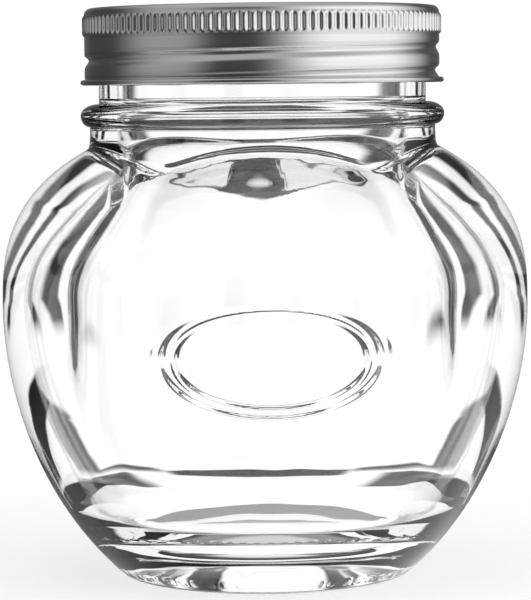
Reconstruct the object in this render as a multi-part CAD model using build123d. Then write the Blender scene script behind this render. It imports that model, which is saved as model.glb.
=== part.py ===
from build123d import *
from math import cos, radians, sin, sqrt
import os

# Glass body. The origin is on the jar's axis, on the table, and the front lobe faces -Y.
lobe_count = 5
belly_height = 50.6        # widest height above the table
belly_radius = 48.05       # round outline at the widest height, before the lobes
foot_radius = 25.9         # round outline where it meets the table
shoulder_rise = 27.4       # from the widest height up to the shoulder
shoulder_radius = 33.5     # round outline at the shoulder
lower_power = 1.96         # fullness of the outline below the belly
upper_power = 2.72         # fullness of the outline above it
crown_rise = 0.8           # a lobe's crown stands this far outside the round outline
valley_depth = 5.0         # a groove between lobes lies this far inside it
lobe_start = 12.0          # height at which the lobes begin to show
groove_softness = 0.16     # rounding of a groove, as a share of half a lobe
heel_round = 5.0
foot_width = 2.6           # flat ring that the jar stands on
push_up = 3.2              # hollow under the base

# Glass walls
side_wall = 3.2
heel_thickening = 3.0      # extra wall towards the base
shoulder_thickening = 8.0  # and towards the shoulder
floor_thickness = 8.0
floor_round = 9.0
inner_relief = 0.8         # share of the lobes' relief that the inside shows

# Glass neck
neck_base_radius = 31.7    # just below the bead
neck_radius = 30.0         # above the bead, under the closure
neck_wall = 3.2
flare_height = 7.8         # cove from the neck down on to the shoulder
flare_drop = 4.3           # how far below the shoulder the cove ends
flare_tuck = 0.4           # the cove's foot lies this far inside the grooves
body_tuck = 1.75           # the body's sections run on this far inside the neck
bead_rise = 6.9            # from the shoulder up to the middle of the bead
bead_radius = 33.4
bead_half = 2.1
finish_height = 18.15      # from the middle of the bead up to the sealing rim
rim_round = 0.9

# Closure
sheet = 0.3                # wall of the screw band
disc_sheet = 0.25
gasket_thickness = 0.8
gasket_width = 3.6
thread_room = 2.25         # between the neck and the band's inside
disc_clearance = 0.4       # between the disc and the band's inside
gasket_clearance = 0.75    # between the gasket and the disc's turned-down edge
band_height = 14.0
band_opening = 27.3        # radius of the band's open top
band_corner = 1.2
knurl_count = 132
knurl_drop = 1.3           # from the band's top to the knurl
knurl_height = 3.9
knurl_proud = 0.35         # knurl above the plain skirt
knurl_bevel = 0.4
flute_radius = 0.5
flute_depth = 0.25
curl_radius = 0.5          # rolled lower edge
curl_overlap = 0.2
disc_edge = 1.3            # depth of the disc's turned-down edge
disc_corner = 1.0
panel_radius = 25.4        # sunken middle of the disc
panel_drop = 0.6
button_radius = 11.0
button_rise = 0.4

# Heights and radii that follow from the sizes above
shoulder_z = belly_height + shoulder_rise
bead_z = shoulder_z + bead_rise
rim_z = bead_z + finish_height
disc_z = rim_z + gasket_thickness
band_top_z = disc_z + disc_sheet + sheet
bore_radius = neck_radius - neck_wall
band_inner = neck_radius + thread_room
band_outer = band_inner + sheet
knurl_radius = band_outer + knurl_proud
disc_radius = band_inner - disc_clearance
gasket_outer = disc_radius - disc_sheet - gasket_clearance
half_lobe = 180 / lobe_count

# Reach of the outline below and above the belly, so that it passes through the foot and the shoulder
lower_reach = belly_height / (1 - (foot_radius / belly_radius) ** 2) ** (1 / lower_power)
upper_reach = shoulder_rise / (1 - (shoulder_radius / belly_radius) ** 2) ** (1 / upper_power)


def round_outline(z):
    """Radius of the jar's outline at a height, as if it had no lobes."""
    rise = z - belly_height
    share = rise / upper_reach if rise > 0 else -rise / lower_reach
    return belly_radius * sqrt(1 - share ** (upper_power if rise > 0 else lower_power))


def lobe_share(z):
    """0 at the round base, easing to 1 at the belly and above it."""
    share = min(max((z - lobe_start) / (belly_height - lobe_start), 0), 1)
    return share * share * (3 - 2 * share)


def groove_share(from_groove):
    """1 in a groove and 0 on a crown, which is 1 away: round lobes that meet in a softened V."""
    def eased(share):
        return sqrt(share ** 2 + groove_softness ** 2) - groove_softness

    return (1 - eased(from_groove) / eased(1)) ** 2


def lobed_radius(z, from_groove, inset=0.0, relief=1.0):
    """Radius of the lobed body, or of its hollow, at a height and a place across a lobe."""
    swell = crown_rise - (crown_rise + valley_depth) * groove_share(from_groove)
    return round_outline(z) - inset + relief * lobe_share(z) * swell


def lobed_section(z, inset=0.0, relief=1.0):
    """Closed lobed face at a height: one curve a lobe, level with the groove at both ends."""
    across = (0, 0.06, 0.14, 0.26, 0.42, 0.62, 0.82)
    steps = [share - 1 for share in across] + [1 - share for share in (1, *reversed(across))]
    radii = [lobed_radius(z, 1 - abs(step), inset, relief) for step in steps]
    edges = []
    for lobe in range(lobe_count):
        angles = [radians(2 * half_lobe * lobe + half_lobe * step) for step in steps]
        points = [(radius * sin(angle), -radius * cos(angle), z) for radius, angle in zip(radii, angles)]
        tangents = [(cos(angle), sin(angle), 0) for angle in (angles[0], angles[-1])]
        edges.append(Edge.make_spline(points, tangents=tangents))
    return Face(Wire(edges))


def heights(bottom, top, shares):
    """Heights of the sections between two levels."""
    return [bottom + (top - bottom) * share for share in shares]


def turned(section):
    """Solid of revolution about the jar's axis from a section drawn as radius and height."""
    return revolve(Plane.XZ * section, Axis.Z)


def rounded_corner(section, corner, radius):
    """The section with the corner nearest to a point rounded off."""
    return fillet(section.vertices().sort_by_distance(corner)[0], radius)


def wall_inset(z):
    """Horizontal wall of the glass, which grows towards the base and the shoulder."""
    below = max(1 - z / belly_height, 0)
    above = max(z - belly_height, 0) / shoulder_rise
    return side_wall + heel_thickening * below ** 2 + shoulder_thickening * above ** 2


def glass_jar():
    # Lobed body, drawn through sections from the table to just inside the neck
    body_top = shoulder_z + body_tuck
    lower = heights(0, belly_height, (0, 0.06, 0.14, 0.24, 0.36, 0.5, 0.66, 0.83, 1))
    upper = heights(belly_height, body_top, (0.2, 0.4, 0.58, 0.73, 0.85, 0.93, 1))
    body = loft([lobed_section(z) for z in lower + upper])
    body = fillet(body.edges().group_by(Axis.Z)[0], heel_round)

    # Neck with the cove on to the shoulder, the bead and the sealing rim
    flare_z = shoulder_z - flare_drop
    flare_radius = lobed_radius(flare_z, 0) - flare_tuck
    cove_top = flare_z + flare_height
    neck_line = [
        Line((0, flare_z), (flare_radius, flare_z)),
        TangentArc((neck_base_radius, cove_top), (flare_radius, flare_z), tangent=(0, -1)),
        Line((neck_base_radius, cove_top), (neck_base_radius, bead_z - bead_half)),
        ThreePointArc(
            (neck_base_radius, bead_z - bead_half), (bead_radius, bead_z), (neck_radius, bead_z + bead_half)
        ),
        Polyline((neck_radius, bead_z + bead_half), (neck_radius, rim_z), (0, rim_z), (0, flare_z)),
    ]
    neck = turned(make_face(neck_line))

    # Hollow: a lobed belly with a rounded floor, opened by the straight bore of the neck
    lower = heights(floor_thickness, belly_height, (0, 0.12, 0.28, 0.5, 0.75, 1))
    hollow = loft([lobed_section(z, wall_inset(z), inner_relief) for z in lower + upper])
    hollow = fillet(hollow.edges().group_by(Axis.Z)[0], floor_round)
    bore = Pos(0, 0, (belly_height + rim_z) / 2) * Cylinder(bore_radius, rim_z - belly_height)

    # Push-up under the base, a shallow dome inside the foot ring, whose edge the heel's rounding brings in
    heel_reach = heel_round / 3
    ring_inner = foot_radius - heel_reach - foot_width
    dome_radius = (ring_inner ** 2 + push_up ** 2) / (2 * push_up)
    dome = Pos(0, 0, push_up - dome_radius) * Sphere(dome_radius)

    jar = body + neck - hollow - bore - dome
    return fillet(jar.edges().group_by(Axis.Z)[-1], rim_round)


def screw_band():
    # Sheet section: flat top with an open middle, knurl swell, straight skirt and curled lower edge
    knurl_top = band_top_z - knurl_drop
    knurl_bottom = knurl_top - knurl_height
    curl_z = band_top_z - band_height + curl_radius
    swell = knurl_proud - flute_depth
    outside = [
        (band_opening, band_top_z),
        (band_outer, band_top_z),
        (band_outer, knurl_top),
        (knurl_radius, knurl_top - knurl_bevel),
        (knurl_radius, knurl_bottom + knurl_bevel),
        (band_outer, knurl_bottom),
        (band_outer, curl_z),
    ]
    inside = [
        (band_inner, curl_z),
        (band_inner, knurl_bottom),
        (band_inner + swell, knurl_bottom + knurl_bevel),
        (band_inner + swell, knurl_top - knurl_bevel),
        (band_inner, knurl_top),
        (band_inner, band_top_z - sheet),
        (band_opening, band_top_z - sheet),
    ]
    section = make_face(Polyline(*outside, *inside, close=True))
    section = rounded_corner(section, (band_outer, band_top_z), band_corner)
    section = rounded_corner(section, (band_inner, band_top_z - sheet), band_corner - sheet)
    section += Pos(band_outer + curl_radius - curl_overlap, curl_z) * Circle(curl_radius)
    band = turned(section)

    # Round-ended flutes of the knurl
    straight = knurl_height - 2 * knurl_bevel - 2 * flute_radius
    flute = Cylinder(flute_radius, straight) + [
        Pos(0, 0, side * straight / 2) * Sphere(flute_radius) for side in (-1, 1)
    ]
    flute_axis = knurl_radius - flute_depth + flute_radius
    knurl = Pos(0, 0, (knurl_top + knurl_bottom) / 2) * PolarLocations(flute_axis, knurl_count) * flute
    return band - knurl


def sealing_disc():
    # Pressed sheet: turned-down edge, flat channel over the gasket, sunken panel and raised middle
    top = disc_z + disc_sheet
    step = disc_sheet
    upper_line = [
        (disc_radius, disc_z + disc_sheet - disc_edge),
        (disc_radius, top),
        (panel_radius + panel_drop, top),
        (panel_radius, top - panel_drop),
        (button_radius + button_rise, top - panel_drop),
        (button_radius, top - panel_drop + button_rise),
        (0, top - panel_drop + button_rise),
    ]
    lower_line = [
        (0, disc_z - panel_drop + button_rise),
        (button_radius - step / 2, disc_z - panel_drop + button_rise),
        (button_radius + button_rise - step / 2, disc_z - panel_drop),
        (panel_radius + step / 2, disc_z - panel_drop),
        (panel_radius + panel_drop + step / 2, disc_z),
        (disc_radius - disc_sheet, disc_z),
        (disc_radius - disc_sheet, disc_z + disc_sheet - disc_edge),
    ]
    section = make_face(Polyline(*upper_line, *lower_line, close=True))
    section = rounded_corner(section, (disc_radius, top), disc_corner)
    return turned(rounded_corner(section, (disc_radius - disc_sheet, disc_z), disc_corner - disc_sheet))


def sealing_gasket():
    middle = Pos(gasket_outer - gasket_width / 2, rim_z + gasket_thickness / 2)
    return turned(middle * Rectangle(gasket_width, gasket_thickness))


os.makedirs("parts", exist_ok=True)
for make in (glass_jar, screw_band, sealing_disc, sealing_gasket):
    export_step(make(), f"parts/{make.__name__}.step")
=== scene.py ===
import math

import bpy
import numpy as np
from mathutils import Euler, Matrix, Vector


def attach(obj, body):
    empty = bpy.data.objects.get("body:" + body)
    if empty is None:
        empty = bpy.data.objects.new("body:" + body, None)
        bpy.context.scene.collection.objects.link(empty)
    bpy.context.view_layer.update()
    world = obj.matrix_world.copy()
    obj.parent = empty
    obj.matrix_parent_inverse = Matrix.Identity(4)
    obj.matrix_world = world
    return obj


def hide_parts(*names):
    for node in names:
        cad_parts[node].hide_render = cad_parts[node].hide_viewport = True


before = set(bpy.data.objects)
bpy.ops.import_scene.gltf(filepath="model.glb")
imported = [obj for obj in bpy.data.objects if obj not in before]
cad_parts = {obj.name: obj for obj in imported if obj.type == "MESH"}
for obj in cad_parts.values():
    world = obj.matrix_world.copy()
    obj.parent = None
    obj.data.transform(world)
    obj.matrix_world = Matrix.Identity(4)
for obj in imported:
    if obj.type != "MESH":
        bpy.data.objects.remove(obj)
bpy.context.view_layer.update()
mm = 0.001
tiny = 1e-6
print("frame loaded:", ", ".join(sorted(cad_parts)))


# 0 below low, 1 above high and an S curve between them
def ramp(value, low, high):
    share = np.clip((value - low) / (high - low), 0, 1)
    return share * share * (3 - 2 * share)


# the larger of two radii or heights, with a fillet about as wide as soft where they cross
def softMax(first, second, soft):
    return 0.5 * (first + second + np.sqrt((first - second) ** 2 + soft ** 2))


# evenly spaced rows from one height, radius or angle to another, without the last one
def rows(first, last, step):
    return np.linspace(first, last, max(int(abs(last - first) / step), 2), endpoint=False)


# a column of rows through several limits, with one step for each run between two of them
def rowChain(limits, *steps):
    return np.concatenate([rows(*run) for run in zip(limits, limits[1:], steps)])[:, None]


# angles of columns round the axis, 1 + gain times as close within half of the front, easing out beyond it
def columnsRound(count, half=0.0, gain=0.0, fade=0.5, fineSteps=7200):
    angle = np.linspace(-math.pi, math.pi, fineSteps + 1)
    weight = 1 + gain * (1 - ramp(np.abs(angle), half, (1 + fade) * half + tiny))
    along = np.concatenate(([0], np.cumsum(0.5 * (weight[1:] + weight[:-1]))))
    return np.interp(np.arange(count) / count * along[-1], along, angle)


# relief of a thread: profile(rise), rise = height - frontHeight - lead * angle / (2 pi), summed over the
# turns, which fade in and out at the thread's ends
def helix(angle, height, thread, profile, turnsEachWay=3):
    total = np.zeros(np.broadcast(angle, height).shape)
    first, last, fade = (math.radians(thread[key]) for key in ("from", "to", "fade"))
    for turn in range(-turnsEachWay, turnsEachWay + 1):
        wound = angle + 2 * math.pi * turn
        rise = height - thread["frontHeight"] - thread["lead"] * wound / (2 * math.pi)
        total += profile(rise) * ramp(wound, first, first + fade) * (1 - ramp(wound, last - fade, last))
    return total


# surface of rows along a section and columns round the axis, in mm: x = r sin(a), y = -r cos(a), z = h;
# "poles" closes the first and last rows on the axis, and "loop" joins the last row to the first
def turnedSurface(name, parts, angle, ends):
    radius = np.vstack([np.broadcast_to(part[0], (len(part[0]), angle.size)) for part in parts])
    height = np.vstack([np.broadcast_to(part[1], (len(part[1]), angle.size)) for part in parts])
    count, columns = radius.shape
    points = np.stack((radius * np.sin(angle), -radius * np.cos(angle), height), axis=2).reshape(-1, 3)
    near = np.arange(columns)
    far = (near + 1) % columns
    start = np.arange(count if ends == "loop" else count - 1)[:, None] * columns
    above = (start + columns) % (count * columns)
    faces = np.stack((start + near, start + far, above + far, above + near), axis=2).reshape(-1, 4).tolist()
    if ends == "poles":
        last = (count - 1) * columns
        poles = np.full(columns, count * columns)
        points = np.vstack((points, [[0, 0, height[0].mean()], [0, 0, height[-1].mean()]]))
        faces += np.stack((poles, far, near), axis=1).tolist()
        faces += np.stack((last + near, last + far, poles + 1), axis=1).tolist()
    mesh = bpy.data.meshes.new(name)
    mesh.from_pydata((points * mm).tolist(), [], faces)
    mesh.shade_smooth()
    piece = bpy.data.objects.new(name, mesh)
    bpy.context.scene.collection.objects.link(piece)
    print("made", name, "with", sum(len(face) - 2 for face in faces), "triangles")
    return piece


# a finished piece takes the place of its node
def standFor(piece, body, node, material):
    piece.data.materials.append(material)
    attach(piece, body)
    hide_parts(node)


# a node with its inputs set, by socket name
def addNode(tree, kind, settings=None, **inputs):
    node = tree.nodes.new(kind)
    for key, value in (settings or {}).items():
        setattr(node, key, value)
    for key, value in inputs.items():
        node.inputs[key.replace("_", " ")].default_value = value
    return node


# a socket takes a plain number or another node's output
def feed(tree, socket, value):
    if isinstance(value, (int, float)):
        socket.default_value = value
    else:
        tree.links.new(value, socket)


def addMath(tree, operation, first, second=0.0):
    node = addNode(tree, "ShaderNodeMath", {"operation": operation})
    feed(tree, node.inputs[0], first)
    feed(tree, node.inputs[1], second)
    return node.outputs[0]


# a value's run from low to high, turned into a run from start to end and held beyond it
def mapped(tree, value, low, high, start=0.0, end=1.0, curve="SMOOTHSTEP"):
    node = addNode(tree, "ShaderNodeMapRange", {"interpolation_type": curve}, From_Min=low, From_Max=high,
                   To_Min=start, To_Max=end)
    tree.links.new(value, node.inputs["Value"])
    return node.outputs["Result"]


# distance of a place from the origin
def reachOf(tree, spot):
    node = addNode(tree, "ShaderNodeVectorMath", {"operation": "LENGTH"})
    tree.links.new(spot, node.inputs[0])
    return node.outputs["Value"]


# a grey colour of a level that changes
def greyOf(tree, level):
    node = addNode(tree, "ShaderNodeCombineColor")
    for channel in ("Red", "Green", "Blue"):
        tree.links.new(level, node.inputs[channel])
    return node.outputs["Color"]


# noise over the surface
def noiseOf(tree, spot, scale, detail, **more):
    node = addNode(tree, "ShaderNodeTexNoise", None, Scale=scale, Detail=detail, **more)
    tree.links.new(spot, node.inputs["Vector"])
    return node.outputs["Fac"]


# a height in the pattern becomes relief in the surface's normal
def roughen(tree, surface, height, strength, distance):
    bump = addNode(tree, "ShaderNodeBump", None, Strength=strength, Distance=distance)
    tree.links.new(height, bump.inputs["Height"])
    tree.links.new(bump.outputs["Normal"], surface.inputs["Normal"])


# a mask chooses between two shaders for the material
def chooseShader(tree, mask, first, second):
    either = addNode(tree, "ShaderNodeMixShader")
    for socket, output in zip(either.inputs, (mask, first, second)):
        tree.links.new(output, socket)
    tree.links.new(either.outputs[0], tree.nodes["Material Output"].inputs["Surface"])


def newMaterial(name):
    material = bpy.data.materials.new(name)
    material.use_nodes = True
    tree = material.node_tree
    return material, tree, tree.nodes["Principled BSDF"]


# sheet metal: fine rolling lines and cloudy wear, in equal parts; its shade varies about tone by toneSpread
sheetGrain = {"lineDetail": 2.0, "lineDepth": 0.02 * mm, "cloudScale": 70.0, "cloudDetail": 5.0,
              "cloudRoughness": 0.6, "tone": 0.97, "toneSpread": 0.16}


# a roughness, a tint and a height that change over the sheet's surface
def sheetFinishGroup():
    group = bpy.data.node_groups.new("sheetFinish", "ShaderNodeTree")
    for name in ("Across", "Lines", "Roughness", "Spread"):
        group.interface.new_socket(name, in_out="INPUT", socket_type="NodeSocketFloat")
    group.interface.new_socket("Place", in_out="INPUT", socket_type="NodeSocketVector")
    group.interface.new_socket("Tint", in_out="INPUT", socket_type="NodeSocketColor")
    group.interface.new_socket("Color", in_out="OUTPUT", socket_type="NodeSocketColor")
    for name in ("Roughness", "Height"):
        group.interface.new_socket(name, in_out="OUTPUT", socket_type="NodeSocketFloat")
    given = group.nodes.new("NodeGroupInput")
    result = group.nodes.new("NodeGroupOutput")
    link = group.links.new
    lines = addNode(group, "ShaderNodeTexNoise", {"noise_dimensions": "1D"}, Scale=1.0,
                    Detail=sheetGrain["lineDetail"])
    link(addMath(group, "MULTIPLY", given.outputs["Across"], given.outputs["Lines"]), lines.inputs["W"])
    cloud = noiseOf(group, given.outputs["Place"], sheetGrain["cloudScale"], sheetGrain["cloudDetail"],
                    Roughness=sheetGrain["cloudRoughness"])
    both = addMath(group, "ADD", addMath(group, "MULTIPLY", lines.outputs["Fac"], 0.5),
                   addMath(group, "MULTIPLY", cloud, 0.5))
    centred = addMath(group, "SUBTRACT", both, 0.5)
    spread = addMath(group, "MULTIPLY", centred, given.outputs["Spread"])
    link(addMath(group, "ADD", spread, given.outputs["Roughness"]), result.inputs["Roughness"])
    darker = addMath(group, "MULTIPLY", centred, sheetGrain["toneSpread"])
    tone = addMath(group, "ADD", darker, sheetGrain["tone"])
    shade = addNode(group, "ShaderNodeMixRGB", {"blend_type": "MULTIPLY"}, Fac=1.0)
    link(given.outputs["Tint"], shade.inputs["Color1"])
    link(greyOf(group, tone), shade.inputs["Color2"])
    link(shade.outputs["Color"], result.inputs["Color"])
    link(lines.outputs["Fac"], result.inputs["Height"])
    return group


sheetFinish = sheetFinishGroup()


# satin sheet metal whose rolling lines lie at equal heights on a skirt, or at equal radii on a turned lid
def sheetMaterial(name, look):
    material, tree, surface = newMaterial(name)
    spot = addNode(tree, "ShaderNodeTexCoord").outputs["Object"]
    if look["turned"]:
        flat = addNode(tree, "ShaderNodeVectorMath", {"operation": "MULTIPLY"})
        flat.inputs[1].default_value = (1, 1, 0)
        tree.links.new(spot, flat.inputs[0])
        across = reachOf(tree, flat.outputs["Vector"])
    else:
        split = addNode(tree, "ShaderNodeSeparateXYZ")
        tree.links.new(spot, split.inputs[0])
        across = split.outputs["Z"]
    finish = addNode(tree, "ShaderNodeGroup", {"node_tree": sheetFinish}, Lines=look["lines"],
                     Roughness=look["roughness"], Spread=look["spread"], Tint=(*look["tint"], 1))
    tree.links.new(across, finish.inputs["Across"])
    tree.links.new(spot, finish.inputs["Place"])
    roughen(tree, surface, finish.outputs["Height"], look["bump"], sheetGrain["lineDepth"])
    tree.links.new(finish.outputs["Color"], surface.inputs["Base Color"])
    tree.links.new(finish.outputs["Roughness"], surface.inputs["Roughness"])
    surface.inputs["Metallic"].default_value = 1.0
    return material


# clear pressed glass: a faint ripple from the mould and faintly cloudy patches; lamps shine through it.
# Painted shade darkens the tint to deep as bounces grow, and a painted glow lights bounced sights in the
# base's middle
glassLook = {
    # the tint is the glass's own; deep, over the run of bounces after it, is painted shade
    "tint": (0.985, 0.99, 0.988), "deep": (0.25, 0.25, 0.25), "paintedShadeBounces": (3.5, 8.0), "ior": 1.5, "shade": 0.9,
    # the first two entries are a painted glow, a pale emission, and its run of bounces; baseMiddle is where
    # it shows
    "paintedGlowLevel": 0.45, "paintedGlow": (3.5, 6.5), "baseMiddle": (0.025, 0.017),
    "hazeScale": 55.0, "hazeDetail": 4.0, "haze": (0.55, 0.85), "hazeRoughness": 0.03,
    "ripple": 0.05, "rippleScale": 90.0, "rippleDetail": 1.0, "rippleHeight": 1.0 * mm,
}


def glassMaterial():
    material, tree, surface = newMaterial("clearGlass")
    spot = addNode(tree, "ShaderNodeTexCoord").outputs["Object"]
    ray = addNode(tree, "ShaderNodeLightPath")
    bounces = ray.outputs["Ray Depth"]
    # painted shade: the tint darkens towards deep as a sight bounces more times
    tint = addNode(tree, "ShaderNodeMix", {"data_type": "RGBA"})
    tint.inputs[6].default_value = (*glassLook["tint"], 1)
    tint.inputs[7].default_value = (*glassLook["deep"], 1)
    tree.links.new(mapped(tree, bounces, *glassLook["paintedShadeBounces"], curve="LINEAR"), tint.inputs[0])
    tree.links.new(tint.outputs[2], surface.inputs["Base Color"])
    # painted glow: a pale emission near the base's middle for sights that have bounced several times, though
    # glass is no lamp
    middle = mapped(tree, reachOf(tree, spot), *glassLook["baseMiddle"], curve="LINEAR")
    paintedGlow = mapped(tree, bounces, *glassLook["paintedGlow"], 0.0, glassLook["paintedGlowLevel"], "LINEAR")
    tree.links.new(greyOf(tree, addMath(tree, "MULTIPLY", middle, paintedGlow)), surface.inputs["Emission Color"])
    surface.inputs["Emission Strength"].default_value = 1.0
    surface.inputs["Transmission Weight"].default_value = 1.0
    surface.inputs["IOR"].default_value = glassLook["ior"]
    haze = noiseOf(tree, spot, glassLook["hazeScale"], glassLook["hazeDetail"])
    cloudy = mapped(tree, haze, *glassLook["haze"], 0.0, glassLook["hazeRoughness"], "LINEAR")
    tree.links.new(cloudy, surface.inputs["Roughness"])
    ripple = noiseOf(tree, spot, glassLook["rippleScale"], glassLook["rippleDetail"])
    roughen(tree, surface, ripple, glassLook["ripple"], glassLook["rippleHeight"])
    clear = addNode(tree, "ShaderNodeBsdfTransparent", None, Color=(*[glassLook["shade"]] * 3, 1))
    chooseShader(tree, ray.outputs["Is Shadow Ray"], surface.outputs["BSDF"], clear.outputs["BSDF"])
    return material


# matte sealing compound, slightly mottled
gasketLook = {"pale": (0.5, 0.43, 0.36), "deep": (0.4, 0.33, 0.27), "roughness": 0.62, "grain": 900.0,
              "grainDetail": 3.0, "bump": 0.3, "grainHeight": 0.1 * mm}


def gasketMaterial():
    material, tree, surface = newMaterial("sealingCompound")
    spot = addNode(tree, "ShaderNodeTexCoord").outputs["Object"]
    grain = noiseOf(tree, spot, gasketLook["grain"], gasketLook["grainDetail"])
    shades = addNode(tree, "ShaderNodeValToRGB")
    shades.color_ramp.elements[0].color = (*gasketLook["deep"], 1)
    shades.color_ramp.elements[1].color = (*gasketLook["pale"], 1)
    tree.links.new(grain, shades.inputs["Fac"])
    tree.links.new(shades.outputs["Color"], surface.inputs["Base Color"])
    roughen(tree, surface, grain, gasketLook["bump"], gasketLook["grainHeight"])
    surface.inputs["Roughness"].default_value = gasketLook["roughness"]
    return material


# glass jar, in mm and degrees: a round outline that swells into lobes, a coved and beaded neck, and the
# hollow inside; the last lines say where rows of points lie closer together, and their steps
jar = {
    "lobes": 5, "bellyHeight": 50.6, "bellyRadius": 48.045, "footRadius": 25.9, "shoulderRise": 27.4,
    "shoulderRadius": 33.5, "lowerPower": 1.96, "upperPower": 2.72, "crownRise": 0.8, "valleyDepth": 5.0,
    "lobeStart": 12.0, "grooveSoftness": 0.16,
    "heelRound": 5.0, "heelTurn": 36.5, "footOuter": 24.23, "footInner": 21.63, "footRound": 0.6,
    "pushUp": 3.2,
    "wall": 3.2, "heelWall": 3.0, "shoulderWall": 8.0, "innerRelief": 0.8,
    "floorHeight": 8.0, "floorCorner": 28.4, "floorSlope": 1.0, "floorSoft": 5.0, "floorEnd": 33.0,
    "floorDome": 0.8,
    "coveBottom": 73.7, "coveTop": 81.5, "coveTuck": 0.4, "coveSoft": 0.5, "farBelow": 9.0,
    "neckBase": 31.7, "neckRadius": 30.0, "neckStep": (84.7, 85.1), "bore": 26.8, "boreSoft": 0.8,
    "beadHeight": 84.9, "beadRadius": 33.4, "beadHalf": 2.1, "rim": 103.05, "rimRound": 0.9,
    "thread": {"frontHeight": 98.1, "lead": 4.23, "from": -442.0, "to": 213.0, "fade": 40.0, "height": 1.15,
               "halfWidth": 1.1, "power": 1.5, "bottom": 91.2},
    "heelMarks": {"count": 64, "height": 1.9, "half": 0.75, "relief": 0.12, "wave": (-0.4, 0.8), "top": 3.0},
    "oval": {"height": 43.5, "halfWide": 21.5, "halfHigh": 10.0, "margin": 1.5, "sunk": 0.7, "sunkEdge": 0.1,
             "line": 0.85, "innerShare": 0.84, "innerRelief": 0.52, "innerLine": 0.6, "facing": (0.8, 1.0)},
    "columns": 304, "frontHalf": 28.0, "frontGain": 2.0,
    "footRows": (0.8, 19.5, 24.0), "shoulderRows": (68.0, 79.0), "rimTurns": (0, 90, 181),
    "innerRows": (81.0, 67.0), "floorRows": (22.0, 0.5),
    "steps": {"foot": (1.7, 0.5), "heel": 6.0, "outside": (0.24, 1.5, 0.25, 1.2, 0.42, 0.6),
              "underBead": 0.7, "bead": 13, "neck": (1.0, 0.45), "rim": 15, "inside": (2.5, 0.7, 1.8),
              "floor": (0.8, 1.6)},
}


# radius of the outline without lobes: bellyRadius * sqrt(1 - share ^ power), share running from the belly
def roundOutline(height):
    rise = height - jar["bellyHeight"]
    foot = 1 - (jar["footRadius"] / jar["bellyRadius"]) ** 2
    shoulder = 1 - (jar["shoulderRadius"] / jar["bellyRadius"]) ** 2
    lowerReach = jar["bellyHeight"] / foot ** (1 / jar["lowerPower"])
    upperReach = jar["shoulderRise"] / shoulder ** (1 / jar["upperPower"])
    lower = np.clip(-rise / lowerReach, 0, 1) ** jar["lowerPower"]
    upper = np.clip(rise / upperReach, 0, 1) ** jar["upperPower"]
    return jar["bellyRadius"] * np.sqrt(np.maximum(1 - lower - upper, 0))


# outline with its lobes: crownRise - (crownRise + valleyDepth) * (1 - eased)^2 is added to it, eased running
# from 0 in a softened groove to 1 on a crown, and the lobes fade out towards the foot
def lobedOutline(height, angle, relief=1.0):
    halfLobe = math.pi / jar["lobes"]
    fromGroove = 1 - np.abs((angle + halfLobe) % (2 * halfLobe) - halfLobe) / halfLobe
    soft = jar["grooveSoftness"]
    eased = (np.sqrt(fromGroove ** 2 + soft ** 2) - soft) / (math.sqrt(1 + soft ** 2) - soft)
    swell = jar["crownRise"] - (jar["crownRise"] + jar["valleyDepth"]) * (1 - eased) ** 2
    return roundOutline(height) + relief * ramp(height, jar["lobeStart"], jar["bellyHeight"]) * swell


# cove from the neck on to the shoulder: an arc that is upright at radius neckBase, and drops away below
def cove(height):
    wide = lobedOutline(jar["coveBottom"], math.pi / jar["lobes"]) - jar["coveTuck"] - jar["neckBase"]
    high = jar["coveTop"] - jar["coveBottom"]
    arc = (wide ** 2 + high ** 2) / (2 * wide)
    down = np.clip(jar["coveTop"] - height, 0, high)
    away = jar["farBelow"] * np.clip(jar["coveBottom"] - height, 0, jar["farBelow"])
    return jar["neckBase"] + arc - np.sqrt(arc ** 2 - down ** 2) - away


# relief on the outside: a plain sunken oval at the front with two lines, exp(-(distance / line)^2), left
# proud in it, and short upright marks round the heel
def outsideRelief(height, angle):
    frontOval, marks = jar["oval"], jar["heelMarks"]
    along = jar["bellyRadius"] * angle / frontOval["halfWide"]
    up = (height - frontOval["height"]) / frontOval["halfHigh"]
    share = np.sqrt(along ** 2 + up ** 2) + tiny
    slope = np.sqrt((along / frontOval["halfWide"]) ** 2 + (up / frontOval["halfHigh"]) ** 2) / share + tiny
    outer = np.exp(-((share - 1) / slope / frontOval["line"]) ** 2)
    inner = np.exp(-((share - frontOval["innerShare"]) / slope / frontOval["innerLine"]) ** 2)
    facing = 1 - ramp(np.abs(angle), *frontOval["facing"])
    panel = 1 - ramp(share, 1, 1 + frontOval["sunkEdge"])
    lines = np.maximum(frontOval["sunk"] * outer, frontOval["innerRelief"] * inner)
    sunk = facing * np.minimum(lines - frontOval["sunk"] * panel, 0)
    wave = ramp(np.cos(angle * marks["count"]), *marks["wave"])
    ring = np.clip(1 - ((height - marks["height"]) / marks["half"]) ** 2, 0, 1)
    return sunk + marks["relief"] * wave * ring


# ridge of the neck's thread: height * (1 - (rise / halfWidth)^2) ^ power
def threadRidge(rise):
    thread = jar["thread"]
    return thread["height"] * np.clip(1 - (rise / thread["halfWidth"]) ** 2, 0, 1) ** thread["power"]


# inner floor: floorHeight + softMax(0, (r - floorCorner) * floorSlope) plus a low dome in the middle
def floorHeight(reach):
    slope = softMax((reach - jar["floorCorner"]) * jar["floorSlope"], 0, jar["floorSoft"])
    dome = np.clip(1 - (reach / jar["floorCorner"]) ** 2, 0, 1)
    return jar["floorHeight"] + slope + jar["floorDome"] * dome


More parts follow.
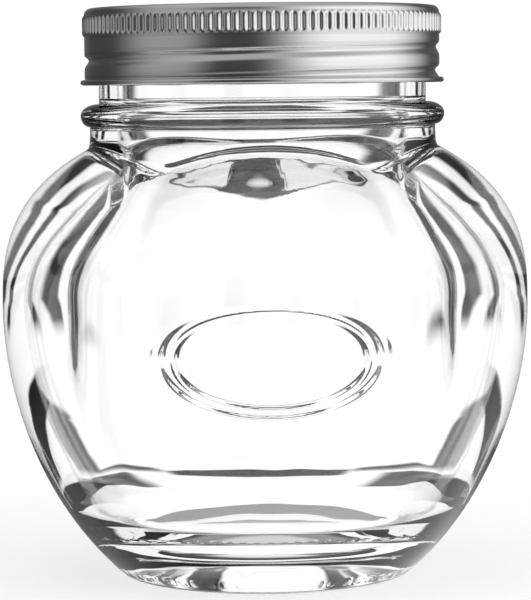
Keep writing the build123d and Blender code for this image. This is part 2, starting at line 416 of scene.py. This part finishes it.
def glassJar():
    steps, frontOval = jar["steps"], jar["oval"]
    angle = columnsRound(jar["columns"], math.radians(jar["frontHalf"]), jar["frontGain"])[None, :]

    # under the base: the push-up's dome, z = pushUp - R + sqrt(R^2 - r^2), the foot ring and the heel's arc
    dome = (jar["footInner"] ** 2 + jar["pushUp"] ** 2) / (2 * jar["pushUp"])
    reach = rowChain(jar["footRows"], *steps["foot"])
    hollow = jar["pushUp"] - dome + np.sqrt(dome ** 2 - reach ** 2)
    rest = softMax(-jar["farBelow"], 0, jar["footRound"])
    parts = [(reach, softMax(hollow, 0, jar["footRound"]) - rest)]
    turn = np.radians(rowChain((0, jar["heelTurn"]), steps["heel"]))
    parts.append((jar["footOuter"] + jar["heelRound"] * np.sin(turn), jar["heelRound"] * (1 - np.cos(turn))))

    # outside: the lobed body runs into the cove of the neck
    heel = jar["heelRound"] * (1 - math.cos(math.radians(jar["heelTurn"])))
    ovalReach = frontOval["halfHigh"] + frontOval["margin"]
    limits = (heel, jar["heelMarks"]["top"], frontOval["height"] - ovalReach,
              frontOval["height"] + ovalReach, *jar["shoulderRows"], jar["coveTop"])
    height = rowChain(limits, *steps["outside"])
    body = lobedOutline(height, angle) + outsideRelief(height, angle)
    parts.append((softMax(body, cove(height), jar["coveSoft"]), height))

    # neck: an elliptical bead between the two neck radii, then the thread up to the rounded rim
    top = jar["rim"] - jar["rimRound"]
    under = rowChain((jar["coveTop"], jar["beadHeight"] - jar["beadHalf"]), steps["underBead"])
    bead = jar["beadHeight"] - jar["beadHalf"] * np.cos(np.radians(rowChain((0, 180), steps["bead"])))
    above = rowChain((jar["beadHeight"] + jar["beadHalf"], jar["thread"]["bottom"], top), *steps["neck"])
    height = np.vstack((under, bead, above))
    core = jar["neckBase"] + (jar["neckRadius"] - jar["neckBase"]) * ramp(height, *jar["neckStep"])
    across = np.clip(1 - ((height - jar["beadHeight"]) / jar["beadHalf"]) ** 2, 0, 1)
    core = core + (jar["beadRadius"] - core) * np.sqrt(across)
    parts.append((core + helix(angle, height, jar["thread"], threadRidge), height))
    turn = np.radians(rowChain(jar["rimTurns"], steps["rim"], steps["rim"]))
    middle = np.where(turn < math.pi / 2, jar["neckRadius"] - jar["rimRound"], jar["bore"] + jar["rimRound"])
    parts.append((middle + jar["rimRound"] * np.cos(turn), top + jar["rimRound"] * np.sin(turn)))

    # inside: the bore opens into the lobed hollow, whose wall grows towards the shoulder and the heel
    height = rowChain((top, *jar["innerRows"], floorHeight(jar["floorEnd"])), *steps["inside"])
    low = np.clip(1 - height / jar["bellyHeight"], 0, 1) ** 2
    high = np.clip((height - jar["bellyHeight"]) / jar["shoulderRise"], 0, 1) ** 2
    wall = jar["wall"] + jar["heelWall"] * low + jar["shoulderWall"] * high
    inside = lobedOutline(height, angle, jar["innerRelief"]) - wall
    parts.append((softMax(inside, jar["bore"], jar["boreSoft"]), height))

    # floor: a slope that eases into a low dome
    reach = rowChain((jar["floorEnd"], *jar["floorRows"]), *steps["floor"])
    parts.append((reach, floorHeight(reach)))
    return turnedSurface("glass_jar_body", parts, angle, "poles")


standFor(glassJar(), "jar", "glass_jar", glassMaterial())

# screw band, in mm and degrees: open flat top, knurled swell, skirt with a rolled thread, curled lower edge
band = {
    "top": 104.4, "bottom": 90.4, "sheet": 0.3, "outer": 32.55, "opening": 27.3, "corner": 1.2, "lip": 0.15,
    "curlRadius": 0.5, "curlReach": 33.35, "curlTurns": (-150, 128), "curlClear": 0.55,
    "knurlTop": 103.1, "knurlBottom": 99.2, "knurlProud": 0.35, "bevel": 0.4,
    "flutes": 132, "fluteHalf": 0.5, "fluteDepth": 0.36, "flutePower": 0.8, "fluteEnd": 0.35,
    "thread": {"frontHeight": 96.0, "lead": 4.23, "from": -520.0, "to": 150.0, "fade": 90.0, "depth": 0.8,
               "upperHalf": 0.9, "lowerHalf": 1.7, "top": 98.5},
    "look": {"tint": (0.7, 0.7, 0.705), "roughness": 0.2, "spread": 0.1, "lines": 5200.0, "bump": 0.12,
             "turned": False},
    "columnsPerFlute": 10, "lipTurns": (90, 271),
    "steps": {"curl": 24, "outside": (0.37, 0.27), "corner": 15, "flange": 1.2, "lip": 60, "under": 2.0,
              "bend": 22, "inside": (1.2, 0.8)},
}


# groove pressed into the skirt: -depth * cos^2, steeper on its upper side
def threadGroove(rise):
    thread = band["thread"]
    half = np.where(rise > 0, thread["upperHalf"], thread["lowerHalf"])
    return -thread["depth"] * np.cos(np.clip(rise / half, -1, 1) * math.pi / 2) ** 2


# round-ended flutes: -fluteDepth * (1 - (distance / fluteHalf)^2) ^ flutePower, the distance being that from
# a short upright line
def knurlFlutes(height, angle):
    pitch = 2 * math.pi / band["flutes"]
    aside = ((angle + pitch / 2) % pitch - pitch / 2) * (band["outer"] + band["knurlProud"])
    middle = (band["knurlTop"] + band["knurlBottom"]) / 2
    straight = (band["knurlTop"] - band["knurlBottom"]) / 2 - band["fluteEnd"] - band["fluteHalf"]
    beyond = np.clip(np.abs(height - middle) - straight, 0, None)
    share = (aside ** 2 + beyond ** 2) / band["fluteHalf"] ** 2
    return -band["fluteDepth"] * np.clip(1 - share, 0, 1) ** band["flutePower"]


def screwBand():
    steps = band["steps"]
    angle = columnsRound(band["flutes"] * band["columnsPerFlute"])[None, :]
    inner = band["outer"] - band["sheet"]
    curlMiddle = band["curlReach"] - band["curlRadius"]
    curlHeight = band["bottom"] + band["curlRadius"]
    upper = band["top"] - band["corner"]

    # outside, upwards: round the curl, up the skirt, over the knurl and the corner
    turn = np.radians(rowChain(band["curlTurns"], steps["curl"]))
    parts = [(curlMiddle + band["curlRadius"] * np.cos(turn),
              curlHeight + band["curlRadius"] * np.sin(turn))]
    height = rowChain((curlHeight + band["curlClear"], band["knurlBottom"], upper), *steps["outside"])
    proud = ramp(height, band["knurlBottom"], band["knurlBottom"] + band["bevel"]) * (
        1 - ramp(height, band["knurlTop"] - band["bevel"], band["knurlTop"]))
    skirt = band["outer"] + helix(angle, height, band["thread"], threadGroove)
    parts.append((skirt + band["knurlProud"] * proud + knurlFlutes(height, angle) * proud, height))
    turn = np.radians(rowChain((0, 90), steps["corner"]))
    parts.append((band["outer"] - band["corner"] * (1 - np.cos(turn)),
                  upper + band["corner"] * np.sin(turn)))

    # open top: across the flange, round its lip, and back under it
    lipMiddle = band["opening"] + band["lip"]
    across = rowChain((band["outer"] - band["corner"], lipMiddle), steps["flange"])
    parts.append((across, band["top"] + 0 * across))
    turn = np.radians(rowChain(band["lipTurns"], steps["lip"]))
    parts.append((lipMiddle + band["lip"] * np.cos(turn),
                  band["top"] - band["lip"] + band["lip"] * np.sin(turn)))
    across = rowChain((lipMiddle, inner - band["corner"] + band["sheet"]), steps["under"])
    parts.append((across, band["top"] - band["sheet"] + 0 * across))

    # inside, downwards: the same thread, on the sheet's inner face
    turn = np.radians(rowChain((90, 0), steps["bend"]))
    bend = band["corner"] - band["sheet"]
    parts.append((inner - bend * (1 - np.cos(turn)), upper + bend * np.sin(turn)))
    height = rowChain((upper, band["thread"]["top"], curlHeight), *steps["inside"])
    parts.append((inner + helix(angle, height, band["thread"], threadGroove), height))
    return turnedSurface("screw_band_shell", parts, angle, "loop")


standFor(screwBand(), "band", "screw_band", sheetMaterial("bandTinplate", band["look"]))

# sealing disc, in mm and degrees: turned-down edge with a softened rim, flat channel, sunken panel and
# raised middle
disc = {
    "under": 103.85, "sheet": 0.25, "radius": 31.85, "edge": 1.3, "corner": 1.0, "rimSide": 0.03,
    "rimUp": 0.06, "panel": 25.4, "panelDrop": 0.6, "panelSlope": 0.6, "button": 11.0, "buttonRise": 0.4,
    "buttonSlope": 0.4,
    "look": {"tint": (0.74, 0.74, 0.735), "roughness": 0.3, "spread": 0.12, "lines": 3600.0, "bump": 0.12,
             "turned": True},
    "columns": 288, "sheetRows": (0.4, 10.8, 11.6, 25.2, 26.2),
    "steps": {"sheet": (1.3, 0.1, 1.36, 0.1, 0.9), "corner": 15},
}


# height of the pressed sheet above its channel: the panel's step down and the button's step up
def pressedSheet(reach):
    panel = 1 - ramp(reach, disc["panel"], disc["panel"] + disc["panelSlope"])
    button = 1 - ramp(reach, disc["button"], disc["button"] + disc["buttonSlope"])
    return disc["buttonRise"] * button - disc["panelDrop"] * panel


def sealingDisc():
    angle = columnsRound(disc["columns"])[None, :]
    top = disc["under"] + disc["sheet"]
    edge = top - disc["edge"]
    shoulder = disc["radius"] - disc["corner"]
    inside = disc["radius"] - disc["sheet"]
    bend = disc["corner"] - disc["sheet"]
    reach = rowChain((*disc["sheetRows"], shoulder), *disc["steps"]["sheet"])
    outward = np.radians(rowChain((90, 0), disc["steps"]["corner"]))
    inward = outward[::-1]
    rimRadius = [inside, inside + disc["rimSide"], disc["radius"] - disc["rimSide"], disc["radius"]]
    rimHeight = [edge + disc["rimUp"], edge, edge, edge + disc["rimUp"]]
    parts = [(reach, disc["under"] + pressedSheet(reach)),
             (shoulder + bend * np.cos(outward), disc["under"] - bend + bend * np.sin(outward)),
             (np.array(rimRadius)[:, None], np.array(rimHeight)[:, None]),
             (shoulder + disc["corner"] * np.cos(inward),
              top - disc["corner"] + disc["corner"] * np.sin(inward)),
             (reach[::-1], top + pressedSheet(reach[::-1]))]
    return turnedSurface("sealing_disc_lid", parts, angle, "poles")


standFor(sealingDisc(), "lid_disc", "sealing_disc",
         sheetMaterial("discTinplate", disc["look"]))

# sealing gasket, in mm and degrees: a flat ring with rounded edges
gasket = {"under": 103.05, "top": 103.85, "outer": 30.85, "inner": 27.25, "edgeRound": 0.25, "columns": 240,
          "edgeStep": 11.25}


def sealingGasket():
    angle = columnsRound(gasket["columns"])[None, :]
    turn = np.radians(rowChain((-90, 270), gasket["edgeStep"]))
    edge = gasket["edgeRound"]
    side = np.where(np.cos(turn) > -tiny, gasket["outer"] - edge, gasket["inner"] + edge)
    level = np.where(np.sin(turn) > -tiny, gasket["top"] - edge, gasket["under"] + edge)
    parts = [(side + edge * np.cos(turn), level + edge * np.sin(turn))]
    return turnedSurface("sealing_gasket_ring", parts, angle, "loop")


standFor(sealingGasket(), "lid_disc", "sealing_gasket", gasketMaterial())

# camera, in metres and degrees, its lens and sensor in mm: a long lens a little above the shoulder, looking
# slightly down
view = {"distance": 0.530, "eyeHeight": 0.0895, "aimHeight": 0.05055, "aimSide": 0.0002, "azimuth": -1.5,
        "roll": -0.6, "lens": 172.5, "sensor": 36.0, "nearest": 0.01, "farthest": 20.0}


def addCamera():
    data = bpy.data.cameras.new("camera")
    data.lens = view["lens"]
    data.sensor_width = view["sensor"]
    data.clip_start = view["nearest"]
    data.clip_end = view["farthest"]
    camera = bpy.data.objects.new("camera", data)
    bpy.context.scene.collection.objects.link(camera)
    side = math.radians(view["azimuth"])
    camera.location = (view["distance"] * math.sin(side), -view["distance"] * math.cos(side),
                       view["eyeHeight"])
    look = (Vector((view["aimSide"], 0, view["aimHeight"])) - camera.location).to_track_quat("-Z", "Y")
    camera.rotation_euler = (look @ Euler((0, 0, math.radians(view["roll"]))).to_quaternion()).to_euler()
    bpy.context.scene.camera = camera


addCamera()

# studio, in metres and degrees: white to the eye. Glass looks through to dark upright flags that draw its
# edges, and metal reflects a bright screen on the right, a weak one on the left and a pale ceiling.
# flagPlaces: a flag's turn from the front, on both sides, and its half width.
# screens: the turns where a soft screen begins, is full, is full still and ends, and its level.
# steepSights: lines of sight through glass to which the floor is dark, by the height at which they leave the
# glass, how steeply they fall and the turn at which they land, with edges like a screen's
studio = {
    "bright": 1.12, "dim": 0.07, "flag": 0.01, "flagSoft": 1.5, "ceiling": 0.55, "ceilingFrom": 25.0,
    "ceilingTo": 60.0, "floorRadius": 6.0, "floorSides": 96, "floorTone": 0.86, "floorRoughness": 0.9,
    "floorShare": 0.35, "floorFade": (0.03, 0.16), "floorGlossy": 0.8, "leaveEdge": 0.045,
    "bandFade": (0.3, 0.5),
    "flagPlaces": ((22.5, 8.0), (67.5, 8.0), (112.5, 8.0), (150.0, 3.0), (164.0, 4.5)),
    "screens": (
        {"edges": (-115, -75, -55, -28), "level": 0.38}, {"edges": (-8, 45, 85, 142), "level": 1.3},
        {"edges": (140, 180, 200, 210), "level": 0.1}, {"edges": (-210, -200, -180, -140), "level": 0.1}),
    "steepSights": (
        {"height": (0.045, 0.047, 0.072, 0.074), "fall": (5, 6, 88, 89), "turn": (168, 170, 200, 210)},
        {"height": (0.0055, 0.006, 0.042, 0.046), "fall": (17, 18, 88, 89), "turn": (160, 164, 200, 210)},
        {"height": (0.006, 0.008, 0.042, 0.046), "fall": (15, 16, 21, 22), "turn": (100, 105, 160, 164)},
        {"height": (0.0008, 0.001, 0.0055, 0.006), "fall": (14, 16, 50, 55), "turn": (60, 66, 150, 155)}),
}


def mixed(tree, share, first, second):
    node = addNode(tree, "ShaderNodeMix", {"data_type": "FLOAT"})
    for socket, value in zip((node.inputs[0], node.inputs[2], node.inputs[3]), (share, first, second)):
        feed(tree, socket, value)
    return node.outputs[0]


# 1 between the second and third edges, 0 outside the first and fourth
def within(tree, value, edges):
    return addMath(tree, "MULTIPLY", mapped(tree, value, edges[0], edges[1]),
                   mapped(tree, value, edges[2], edges[3], 1.0, 0.0))


# turn of a direction or a place about the axis, from -pi to pi, 0 at the front and growing to the right, and
# its height
def turnOf(tree, vector):
    split = addNode(tree, "ShaderNodeSeparateXYZ")
    tree.links.new(vector, split.inputs[0])
    back = addMath(tree, "MULTIPLY", split.outputs["Y"], -1.0)
    return addMath(tree, "ARCTAN2", split.outputs["X"], back), split.outputs["Z"]


# dark upright flags: studio["flag"] in a flag's middle and studio["bright"] between two of them
def flags(tree, turn):
    aside = addMath(tree, "ABSOLUTE", turn)
    soft = math.radians(studio["flagSoft"])
    level = studio["bright"]
    for at, half in np.radians(studio["flagPlaces"]).tolist():
        away = addMath(tree, "ABSOLUTE", addMath(tree, "SUBTRACT", aside, at))
        flag = mapped(tree, away, half - soft, half + soft, studio["flag"], studio["bright"])
        level = addMath(tree, "MINIMUM", flag, level)
    return level


# level of the screens at a turn, on top of the dim room
def screenLevel(tree, turn):
    level = studio["dim"]
    for screen in studio["screens"]:
        share = within(tree, turn, np.radians(screen["edges"]).tolist())
        lit = addMath(tree, "MULTIPLY", share, screen["level"])
        level = addMath(tree, "ADD", lit, level)
    return level


def addWorld():
    world = bpy.data.worlds.new("studio")
    bpy.context.scene.world = world
    world.use_nodes = True
    tree = world.node_tree
    tree.nodes.clear()
    turn, rise = turnOf(tree, addNode(tree, "ShaderNodeTexCoord").outputs["Generated"])
    low, high = (math.sin(math.radians(studio[key])) for key in ("ceilingFrom", "ceilingTo"))
    ceiling = mapped(tree, rise, low, high)
    level = mixed(tree, ceiling, screenLevel(tree, turn), studio["ceiling"])
    glass = mixed(tree, ceiling, flags(tree, turn), studio["bright"])
    ray = addNode(tree, "ShaderNodeLightPath")
    level = mixed(tree, ray.outputs["Is Transmission Ray"], level, glass)
    level = mixed(tree, ray.outputs["Is Camera Ray"], level, 1.0)
    back = addNode(tree, "ShaderNodeBackground", None, Color=(1, 1, 1, 1))
    tree.links.new(level, back.inputs["Strength"])
    tree.links.new(back.outputs[0], addNode(tree, "ShaderNodeOutputWorld").inputs["Surface"])


addWorld()


# 1 where the floor is dark to a steep sight: the sine of its fall comes from the angle at which it meets the
# floor, and the height at which it left the glass is about (reach - leaveEdge) * sine
def steepShare(tree, reach, turn):
    facing = addNode(tree, "ShaderNodeLayerWeight", None, Blend=0.5).outputs["Facing"]
    sine = addMath(tree, "SUBTRACT", 1.0, facing)
    leave = addMath(tree, "MULTIPLY", addMath(tree, "SUBTRACT", reach, studio["leaveEdge"]), sine)
    aside = addMath(tree, "ABSOLUTE", turn)
    steep = 0.0
    for sight in studio["steepSights"]:
        dark = addMath(tree, "MULTIPLY", within(tree, leave, sight["height"]),
                       within(tree, sine, np.sin(np.radians(sight["fall"])).tolist()))
        dark = addMath(tree, "MULTIPLY", dark, within(tree, aside, np.radians(sight["turn"]).tolist()))
        steep = addMath(tree, "MAXIMUM", dark, steep)
    return steep


# pale floor that keeps the shadow near the jar and eases into the white surround; through glass it shows the
# flags' bands and the dark of steep sights, and metal sees the screens in it
def floorMaterial():
    material, tree, surface = newMaterial("paleFloor")
    surface.inputs["Base Color"].default_value = (*[studio["floorTone"]] * 3, 1)
    surface.inputs["Roughness"].default_value = studio["floorRoughness"]
    spot = addNode(tree, "ShaderNodeTexCoord").outputs["Object"]
    reach = reachOf(tree, spot)
    turn = turnOf(tree, spot)[0]
    ray = addNode(tree, "ShaderNodeLightPath")
    glossy, through = ray.outputs["Is Glossy Ray"], ray.outputs["Is Transmission Ray"]
    banded = mixed(tree, mapped(tree, reach, *studio["bandFade"]), studio["bright"], flags(tree, turn))
    banded = mixed(tree, steepShare(tree, reach, turn), banded, studio["flag"])
    shaded = addMath(tree, "MULTIPLY", screenLevel(tree, turn), studio["floorGlossy"])
    tone = mixed(tree, through, mixed(tree, glossy, 1.0, shaded), banded)
    white = addNode(tree, "ShaderNodeEmission", None, Color=(1, 1, 1, 1))
    tree.links.new(tone, white.inputs["Strength"])
    seen = addMath(tree, "MAXIMUM", ray.outputs["Is Camera Ray"], addMath(tree, "MAXIMUM", glossy, through))
    share = mapped(tree, reach, *studio["floorFade"], 1 - studio["floorShare"], 1.0)
    own = addMath(tree, "MULTIPLY", seen, addMath(tree, "MAXIMUM", share, through))
    chooseShader(tree, own, surface.outputs["BSDF"], white.outputs[0])
    return material


# the floor is one flat face: a circle of floorSides points
def addFloor():
    turn = np.linspace(0, 2 * math.pi, studio["floorSides"], endpoint=False)
    edge = np.stack((np.cos(turn), np.sin(turn), 0 * turn), axis=1) * studio["floorRadius"]
    mesh = bpy.data.meshes.new("floor")
    mesh.from_pydata(edge.tolist(), [], [list(range(len(turn)))])
    mesh.materials.append(floorMaterial())
    floor = bpy.data.objects.new("floor", mesh)
    bpy.context.scene.collection.objects.link(floor)


addFloor()

# soft lamps, in metres and watts, for the shadow and the matte pieces; metal and glass see the screens
lamps = {"right": {"at": (0.75, -0.55, 0.55), "size": 0.6, "power": 7.0},
         "above": {"at": (-0.1, -0.1, 1.1), "size": 0.8, "power": 5.0}}
lampAim = (0, 0, 0.06)


def addLamps():
    for name, lamp in lamps.items():
        data = bpy.data.lights.new(name, "AREA")
        data.size = lamp["size"]
        data.energy = lamp["power"]
        item = bpy.data.objects.new(name, data)
        bpy.context.scene.collection.objects.link(item)
        item.location = lamp["at"]
        item.rotation_euler = (Vector(lampAim) - item.location).to_track_quat("-Z", "Y").to_euler()
        item.visible_glossy = item.visible_transmission = item.visible_camera = False


addLamps()
bpy.context.scene.view_settings.view_transform = "Standard"
print("studio, camera and floor ready")

bpy.context.view_layer.update()
